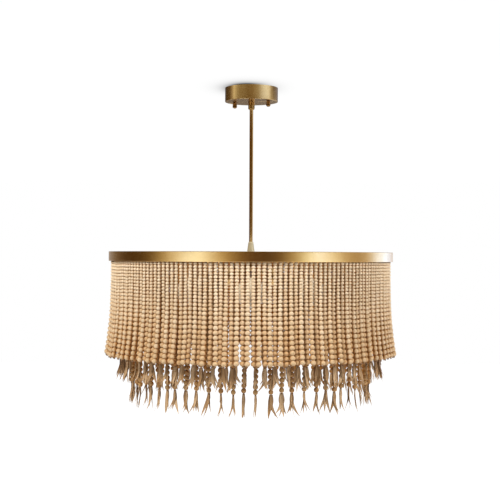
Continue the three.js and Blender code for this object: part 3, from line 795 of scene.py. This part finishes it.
def beadTree():
    tree, size = newTree("beadStrands", {
        **lineSizes, **inMetres(tierSettings["outer"]["bead"]), "Beads": tierSettings["outer"]["beads"],
        "Start Jitter": 0.5 * mm, "Flat Ends": 0.94, "Material": None,
    })
    index = geo(tree, "InputIndex")
    strand = (index / size["Beads"]).step("FLOOR")
    number = index - strand * size["Beads"]
    strandId = strand + size["Sector"] * size["Strands In Sector"]
    beadId = strandId * 64 + number
    along = number / (size["Beads"] - 1)
    swell = spread(tree, along, *beadHabit["swell"], smooth=True)
    uneven = chanceOf(tree, beadId, 1, *beadHabit["heights"])
    height = (size["Top Height"] + (size["End Height"] - size["Top Height"]) * swell) * uneven
    width = size["Top Width"] + (size["End Width"] - size["Top Width"]) * swell
    width = width * chanceOf(tree, beadId, 2, *beadHabit["widths"])
    sums = node(tree, "GeometryNodeAccumulateField", {"Value": height, "Group ID": strand},
                data_type="FLOAT", domain="POINT")
    fit = size["String Length"] / Field(tree, sums.outputs["Total"])
    jitter = chanceOf(tree, strandId, 3) * size["Start Jitter"]
    depth = size["First Depth"] + (Field(tree, sums.outputs["Trailing"]) + height / 2) * fit + jitter
    place, _, behind = onStrand(tree, size, strandId, depth)

    ball = geo(tree, "MeshUVSphere",
               {"Segments": beadHabit["segments"], "Rings": beadHabit["rings"], "Radius": 0.5})
    x, y, z = parts(tree, geo(tree, "InputPosition"))
    # how near each bead's end it is; the wood darkens there, partly a stain and partly painted shade where
    # beads touch
    ball = remember(tree, ball, "poleNear", z.step("ABSOLUTE") * 2)
    flatEnd = size["Flat Ends"] / 2
    ball = moved(tree, ball, vector(tree, x, y, z.step("MINIMUM", flatEnd).step("MAXIMUM", flatEnd * -1)))
    tilt = [chanceOf(tree, beadId, seed, -beadHabit["tilt"], beadHabit["tilt"]) for seed in (11, 12)]
    facing = vector(tree, *tilt, chanceOf(tree, beadId, 13, high=anyAngle))
    points = pointCloud(tree, size["Strands In Sector"] * size["Beads"])
    for name, value, kind in (
        ("setBehind", behind, "FLOAT"),
        ("beadPlace", along, "FLOAT"),
        ("beadMiddle", place, "FLOAT_VECTOR"),
        ("beadTint", chanceOf(tree, beadId, 21), "FLOAT"),
        ("strandTint", chanceOf(tree, strandId, 22), "FLOAT"),
    ):
        points = remember(tree, points, name, value, kind)
    balls = geo(tree, "InstanceOnPoints", {
        "Points": moved(tree, points, place), "Instance": ball, "Rotation": facing,
        "Scale": vector(tree, width, width, height * fit / size["Flat Ends"]),
    })
    balls = finished(tree, balls, size["Material"])
    # How far each point of a bead faces out to the room; the wood uses it for painted shade on the beads'
    # sides.
    middle = recalled(tree, "beadMiddle", "FLOAT_VECTOR")
    reach = vectorMath(tree, "NORMALIZE", vectorMath(tree, "SUBTRACT", geo(tree, "InputPosition"), middle))
    outwards = vectorMath(tree, "NORMALIZE", vectorMath(tree, "MULTIPLY", middle, (1.0, 1.0, 0.0)))
    facing = vectorMath(tree, "DOT_PRODUCT", reach, outwards, output=1)
    return closeTree(tree, Geometry=remember(tree, balls, "facingOut", facing))


# A strand's cord hangs in a loop round the rail, is knotted above its first bead and below its last.
def cordTree():
    tree, size = newTree("strandCords", {
        **lineSizes, "Samples": 14, "Cord Top": 0.35 * mm, "Cord Below": 2.4 * mm, "Cord Radius": 0.5 * mm,
        "Top Knot Depth": 2.1 * mm, "End Knot Below": 1.7 * mm, "Top Knot": 1.15 * mm, "End Knot": 1.9 * mm,
        "Loop Size": 5.1 * mm, "Loop Height": 2.2 * mm, "Loop Corner": 0.8 * mm, "Material": None,
    })
    perSector = size["Strands In Sector"]
    first = size["Sector"] * perSector
    index = geo(tree, "InputIndex")
    strand = (index / size["Samples"]).step("FLOOR")
    step = index - strand * size["Samples"]
    cordEnd = size["Last Depth"] + size["Cord Below"]
    depth = size["Cord Top"] + (cordEnd - size["Cord Top"]) * (step / (size["Samples"] - 1))
    place, _, _ = onStrand(tree, size, strand + first, depth)
    points = moved(tree, pointCloud(tree, perSector * size["Samples"]), place)
    curves = geo(tree, "PointsToCurves", {0: points, 1: strand, 2: step})
    ring = geo(tree, "CurvePrimitiveCircle", {"Resolution": 6, "Radius": size["Cord Radius"]})
    whole = [geo(tree, "CurveToMesh", {"Curve": curves, "Profile Curve": ring, "Fill Caps": True})]

    square = geo(tree, "CurvePrimitiveQuadrilateral",
                 {"Width": size["Loop Size"], "Height": size["Loop Size"]})
    eased = geo(tree, "FilletCurve", {"Curve": square, "Radius": size["Loop Corner"], "Count": 2},
                mode="POLY")
    loop = geo(tree, "CurveToMesh", {"Curve": eased, "Profile Curve": ring})
    strandId = index + first
    middle, angle, _ = onStrand(tree, size, strandId, 0.0)
    lifted = vectorMath(tree, "ADD", middle, vector(tree, 0.0, 0.0, size["Loop Height"]))
    whole.append(geo(tree, "InstanceOnPoints", {
        "Points": moved(tree, pointCloud(tree, perSector), lifted), "Instance": loop,
        "Rotation": vector(tree, math.pi / 2, 0.0, angle)}))
    knotBall = geo(tree, "MeshUVSphere", {"Segments": 8, "Rings": 6, "Radius": 1.0})
    for depth, knot, squash in ((size["Top Knot Depth"], size["Top Knot"], 0.8),
                                (size["Last Depth"] + size["End Knot Below"], size["End Knot"], 0.75)):
        spot, _, _ = onStrand(tree, size, strandId, depth)
        knotSize = knot * chanceOf(tree, strandId, 31, 0.85, 1.15)
        whole.append(geo(tree, "InstanceOnPoints", {
            "Points": moved(tree, pointCloud(tree, perSector), spot), "Instance": knotBall,
            "Scale": vector(tree, knotSize, knotSize, knotSize * squash)}))
    together = node(tree, "GeometryNodeJoinGeometry")
    for geometry in whole:
        feed(tree, together.inputs[0], geometry)
    return closeTree(tree, Geometry=finished(tree, together.outputs[0], size["Material"]))


# A tassel is a few dry leaf strips, tied under the last bead, that spread and end in points.
# At a sector's edge they are slimmer and spread less, so that neighbours pass.
leafHabit = {
    "lengths": (0.85, 1.12), "droppedLength": 0.4, "fullness": (0.3, 1.3), "tied": (0.15, 0.45),
    "away": (0.3, 1.0), "curls": (0.0, 0.1), "lean": 0.9, "face": 0.6, "twist": 0.7, "fold": 0.16,
    "outShare": 0.7, "edgeWidth": 0.35, "edgeCurl": 0.6, "edgeLean": 0.75,
}


def tasselTree(habit):
    tree, size = newTree("leafTassels", {
        **lineSizes, **inMetres(tierSettings["mid"]["leaf"]), "Ribbons": 4, "Tassel Below": 0.6 * mm,
        "Narrowest": 4.0 * mm, "Thickness": 0.35 * mm, "Spread": 0.42, "Material": None,
    })
    perSector = size["Strands In Sector"]
    index = geo(tree, "InputIndex")
    strand = (index / size["Ribbons"]).step("FLOOR")
    points = pointCloud(tree, perSector * size["Ribbons"])
    first = size["Sector"] * perSector
    points = remember(tree, points, "leafStrand", strand + first, "INT")
    points = remember(tree, points, "leafNumber", index - strand * size["Ribbons"], "INT")
    strip = geo(tree, "MeshCube", {
        "Size": (1.0, 1.0, 1.0), "Vertices X": 3, "Vertices Y": 2, "Vertices Z": 11})
    x, y, z = parts(tree, geo(tree, "InputPosition"))
    for name, value in (("leafAcross", x), ("leafThrough", y), ("leafAlong", 0.5 - z)):
        strip = remember(tree, strip, name, value)
    strips = geo(tree, "InstanceOnPoints", {"Points": points, "Instance": strip})
    strips = geo(tree, "RealizeInstances", {"Geometry": strips})

    strandId = recalled(tree, "leafStrand", "INT")
    number = recalled(tree, "leafNumber", "INT")
    across, through, t = (recalled(tree, name) for name in ("leafAcross", "leafThrough", "leafAlong"))
    leafId = strandId * 16 + number

    def chance(seed, low=0.0, high=1.0):
        return chanceOf(tree, leafId, seed, low, high)

    def either(seed, amount):
        return chance(seed, -amount, amount)

    top, angle, _ = onStrand(tree, size, strandId, size["Last Depth"] + size["Tassel Below"])
    middle = (perSector - 1) / 2
    edge = ((strandId - first - middle).step("ABSOLUTE") - middle + 1).clamped()
    full = chanceOf(tree, strandId, 52, *habit["fullness"])
    kept = ((number - 1) / size["Ribbons"]).step("LESS_THAN", full)
    length = size["Tassel Length"] * chance(41, *habit["lengths"])
    length = length * (kept * (1 - habit["droppedLength"]) + habit["droppedLength"])
    wide = size["Narrowest"] + (size["Widest"] - size["Narrowest"]) * chance(42) * full
    wide = wide.step("MINIMUM", size["Widest"]) * (1 - edge * habit["edgeWidth"])
    inPair = number.step("LESS_THAN", 1.5)
    leanWay = (math.pi / 2) * inPair + number * math.pi + either(43, habit["lean"])
    faceWay = angle + either(44, habit["face"]) + t * either(45, habit["twist"])
    tied = chanceOf(tree, strandId, 51, *habit["tied"])
    free = ((t - tied) / (1.0 - tied)).clamped()
    away = size["Spread"] * chance(46, *habit["away"]) * length * (free ** 1.5)
    curl = ((t * 3.0 + chance(47, high=anyAngle)).step("SINE") * t) * length * chance(48, *habit["curls"])
    curl = curl * (1 - edge * habit["edgeCurl"])
    profile = spread(tree, t, 0.0, 0.3, 0.6, 1.0, smooth=True) * (1.0 - t ** 2.1) + 0.05
    sideways = across * wide * profile + curl
    fold = (across.step("ABSOLUTE") * 2) ** 2 * wide * profile * either(49, habit["fold"])
    outward = through * size["Thickness"] + fold
    leanOut = leanWay.step("COSINE").step("ABSOLUTE") * away * habit["outShare"]
    leanSide = leanWay.step("SINE") * away * (1 - edge * habit["edgeLean"])

    def turnedBy(way, out, beside):
        cosine, sine = way.step("COSINE"), way.step("SINE")
        return cosine * out - sine * beside, sine * out + cosine * beside

    x, y, z = parts(tree, top)
    for moveX, moveY in (turnedBy(angle, leanOut, leanSide), turnedBy(faceWay, outward, sideways)):
        x, y = x + moveX, y + moveY
    strips = moved(tree, strips, vector(tree, x, y, z - t * length))
    strips = remember(tree, strips, "leafTint", chance(50))
    return closeTree(tree, Geometry=finished(tree, strips, size["Material"], smooth=False))


beadStrands = beadTree()
strandCords = cordTree()
leafTassels = tasselTree(leafHabit)
print("node trees built")

leastBend = 3.5     # the least depth below its rail, in millimetres


def hangSector(tier, number, settings):
    count = "%02d" % (number + 1)
    body = tier + "_strands_" + count
    line = lineOf(settings, number)
    swing = math.radians(360 / settings["sectors"] * number)
    rail = Vector((math.cos(swing), math.sin(swing), 0)) * line["Rail Radius"] + Vector((0, 0, bandMiddle))
    bend = settings["bendDepth"]
    beads = grow(tier + "Beads" + count, beadStrands, {
        **line, **inMetres(settings["bead"]), "Beads": settings["beads"],
        "Material": finishes[tier + "Wood"],
    })
    if bend:
        rail - Vector((0, 0, bend * mm))
        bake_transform(beads)
    else:
        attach(beads, body)
    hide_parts(body)
    cords = grow(tier + "Cords" + count, strandCords, {**line, "Material": finishes["waxedCord"]})
    rail - Vector((0, 0, max(bend, leastBend) * mm))
    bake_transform(cords)
    if "ribbons" in settings:
        tassels = grow(tier + "Tassels" + count, leafTassels, {
            **line, **inMetres(settings["leaf"]), "Ribbons": settings["ribbons"],
            "Material": finishes["dryLeaf"],
        })
        settle(tassels, body, "leaf_ribbon")


for tier, settings in tierSettings.items():
    for number in range(settings["sectors"]):
        hangSector(tier, number, settings)
    print(tier, "tier hung")


# Studio: pale floor, pale ceiling, soft lamps, and tones that only the metal reflects
studioSettings = {
    "floor": {"size": 14, "height": -1.25, "glow": 0.97, "albedo": 0.8},
    "ceiling": {"size": 6, "height": 1.0 * mm, "glow": 1.01, "albedo": 0.0},
    "worldFill": 0.13,
    "lamps": [
        {"name": "keyLamp", "place": (-1.8, -1.72, 1.35), "size": 0.9, "power": 86},
        {"name": "fillLamp", "place": (2.35, -1.4, 0.85), "size": 1.2, "power": 64},
    ],
    "aim": (0, 0, -0.45),
}
# The canopy's soft shadow on the ceiling is painted: it fades over its reach from the edge, further towards
# the room.
ceilingShade = {"shift": (0.009, -0.008, 0), "stretch": (1, 0.58, 0), "edge": 0.051, "reach": 0.0155,
                "depth": 0.4}


def hideFrom(piece, *rays):
    for ray in rays:
        setattr(piece, "visible_" + ray, False)


def seenDirectly(tree):
    rays = node(tree, "ShaderNodeLightPath").outputs
    seen = Field(tree, rays["Is Camera Ray"])
    for kind in ("Is Glossy Ray", "Is Transmission Ray"):
        seen = seen.step("MAXIMUM", rays[kind])
    return seen


def studioMaterial(name):
    material = bpy.data.materials.new(name)
    material.use_nodes = True
    material.node_tree.nodes.clear()
    return material, material.node_tree


def surface(tree, result):
    feed(tree, node(tree, "ShaderNodeOutputMaterial").inputs["Surface"], result)


# Pale on its upper or its room side, and clear from behind
def paleSurface(name, glow, albedo, canopyShade=None):
    material, tree = studioMaterial(name)
    strength = seenDirectly(tree) * glow
    # painted shadow round the canopy, darkening the ceiling's glow
    if canopyShade:
        away = vectorMath(tree, "ADD", objectPlace(tree), canopyShade["shift"])
        away = vectorMath(tree, "MULTIPLY", away, canopyShade["stretch"])
        length = vectorMath(tree, "LENGTH", away, output=1)
        falling = ((length - canopyShade["edge"]) / -canopyShade["reach"]).step("EXPONENT")
        strength = strength * (1 - falling * canopyShade["depth"]).clamped()
    matt = shade(tree, "BsdfDiffuse", {"Color": (albedo, albedo, albedo, 1)})
    lit = shade(tree, "AddShader", {0: matt, 1: shade(tree, "Emission", {"Strength": strength})})
    back = shade(tree, "NewGeometry", output="Backfacing")
    surface(tree, shade(tree, "MixShader", {0: back, 1: lit, 2: shade(tree, "BsdfTransparent")}))
    return material


def stageMesh(name, corners, faces, material):
    mesh = bpy.data.meshes.new(name)
    mesh.from_pydata(corners, [], faces)
    mesh.materials.append(material)
    made = added(name, mesh)
    return made


def plane(name, facesUp, canopyShade, size, height, glow, albedo):
    half = size / 2
    corners = [(-half, -half, height), (half, -half, height), (half, half, height), (-half, half, height)]
    return stageMesh(name, corners, [(0, 1, 2, 3) if facesUp else (3, 2, 1, 0)],
                     paleSurface("pale" + name.capitalize(), glow, albedo, canopyShade))


plane("floor", True, None, **studioSettings["floor"])
ceiling = plane("ceiling", False, ceilingShade, **studioSettings["ceiling"])
hideFrom(ceiling, "shadow", "diffuse", "glossy")

world = bpy.data.worlds.new("studio")
world.use_nodes = True
scene.world = world
background = next(n for n in world.node_tree.nodes if n.type == "BACKGROUND")
background.inputs["Color"].default_value = (1, 1, 1, 1)
fill = studioSettings["worldFill"]
feed(world.node_tree, background.inputs["Strength"], seenDirectly(world.node_tree) * (1 - fill) + fill)

for lampSetting in studioSettings["lamps"]:
    light = bpy.data.lights.new(lampSetting["name"], "AREA")
    light.size = lampSetting["size"]
    light.energy = lampSetting["power"]
    lampObject = added(lampSetting["name"], light)
    lampObject.location = lampSetting["place"]
    aim = Vector(studioSettings["aim"]) - Vector(lampSetting["place"])
    lampObject.rotation_euler = aim.to_track_quat("-Z", "Y").to_euler()
    hideFrom(lampObject, "camera", "glossy")

# Degrees from the camera's direction towards +X, each with the tone that the brass shows there.
toneSettings = {
    "radius": 1.5,
    "lower": {
        "heights": (-0.95, -0.31),
        "tones": {
            -180: (0.28, 0.24, 0.22), -150: (0.52, 0.47, 0.45), -125: (0.24, 0.17, 0.12),
            -106: (0.085, 0.042, 0.014), -88: (0.085, 0.042, 0.012), -76: (0.2, 0.12, 0.04),
            -64: (0.75, 0.6, 0.33), -54: (1.4, 1.35, 1.2), -44: (1.85, 2.05, 2.3), -36: (2.1, 2.3, 2.5),
            -22: (1.05, 0.87, 0.52), -12: (0.47, 0.31, 0.12), -3: (0.17, 0.08, 0.025),
            14: (0.09, 0.045, 0.015), 22: (0.27, 0.16, 0.06), 31: (0.8, 0.64, 0.34), 40: (1.65, 1.75, 1.6),
            50: (2.1, 2.45, 3.4), 60: (1.6, 1.65, 1.6), 72: (0.82, 0.68, 0.48), 86: (0.5, 0.35, 0.17),
            97: (0.85, 0.73, 0.56), 110: (1.5, 1.85, 2.9), 126: (1.55, 2.1, 3.5), 140: (1.0, 1.05, 1.3),
            155: (0.85, 0.8, 0.75), 180: (0.28, 0.24, 0.22),
        },
    },
    "middle": {
        "heights": (-0.31, 0.146),
        "tones": {
            -180: (0.14, 0.125, 0.12), -150: (0.16, 0.09, 0.028), 30: (0.12, 0.066, 0.02),
            60: (0.25, 0.18, 0.1), 100: (0.8, 0.75, 0.65), 140: (0.6, 0.55, 0.5), 180: (0.14, 0.125, 0.12),
        },
    },
    "upper": {
        "heights": (0.146, 0.85),
        "tones": {
            -180: (0.16, 0.15, 0.2), -135: (0.07, 0.05, 0.025), -108: (0.12, 0.08, 0.04),
            -92: (0.46, 0.38, 0.26), -80: (1.25, 1.2, 1.0), -68: (0.66, 0.62, 0.47),
            -52: (0.42, 0.36, 0.23), -14: (0.26, 0.195, 0.095), 6: (0.36, 0.275, 0.15),
            30: (0.58, 0.54, 0.41), 50: (1.15, 1.25, 1.45), 66: (1.35, 1.55, 1.9), 82: (1.2, 1.3, 1.5),
            94: (0.36, 0.32, 0.25), 112: (0.08, 0.045, 0.025), 135: (0.24, 0.24, 0.32),
            180: (0.16, 0.15, 0.2),
        },
    },
}


def toneAt(tones, angle):
    tones = list(tones.items())
    for (fromAngle, fromTone), (toAngle, toTone) in zip(tones, tones[1:]):
        if fromAngle <= angle <= toAngle:
            share = (angle - fromAngle) / (toAngle - fromAngle)
            return [a + (b - a) * share for a, b in zip(fromTone, toTone)]


def toneRing(name, settings, radius, steps=180):
    low, high = settings["heights"]
    corners, tones = [], []
    for step in range(steps + 1):
        angle = -180 + 360 * step / steps
        x, y = radius * math.sin(math.radians(angle)), -radius * math.cos(math.radians(angle))
        corners += [(x, y, low), (x, y, high)]
        tones += [(*toneAt(settings["tones"], angle), 1.0)] * 2
    faces = [(a, a + 1, a + 3, a + 2) for a in range(0, 2 * steps, 2)]
    material, tree = studioMaterial(name)
    tone = shade(tree, "Attribute", output="Color", attribute_name="tone")
    surface(tree, shade(tree, "Emission", {"Color": tone}))
    ring = stageMesh(name, corners, faces, material)
    layer = ring.data.color_attributes.new("tone", "FLOAT_COLOR", "POINT")
    for number, tone in enumerate(tones):
        layer.data[number].color = tone
    hideFrom(ring, "camera", "diffuse", "transmission", "volume_scatter", "shadow")


for height in ("lower", "middle", "upper"):
    toneRing(height + "Tones", toneSettings[height], toneSettings["radius"])
print("studio ready")
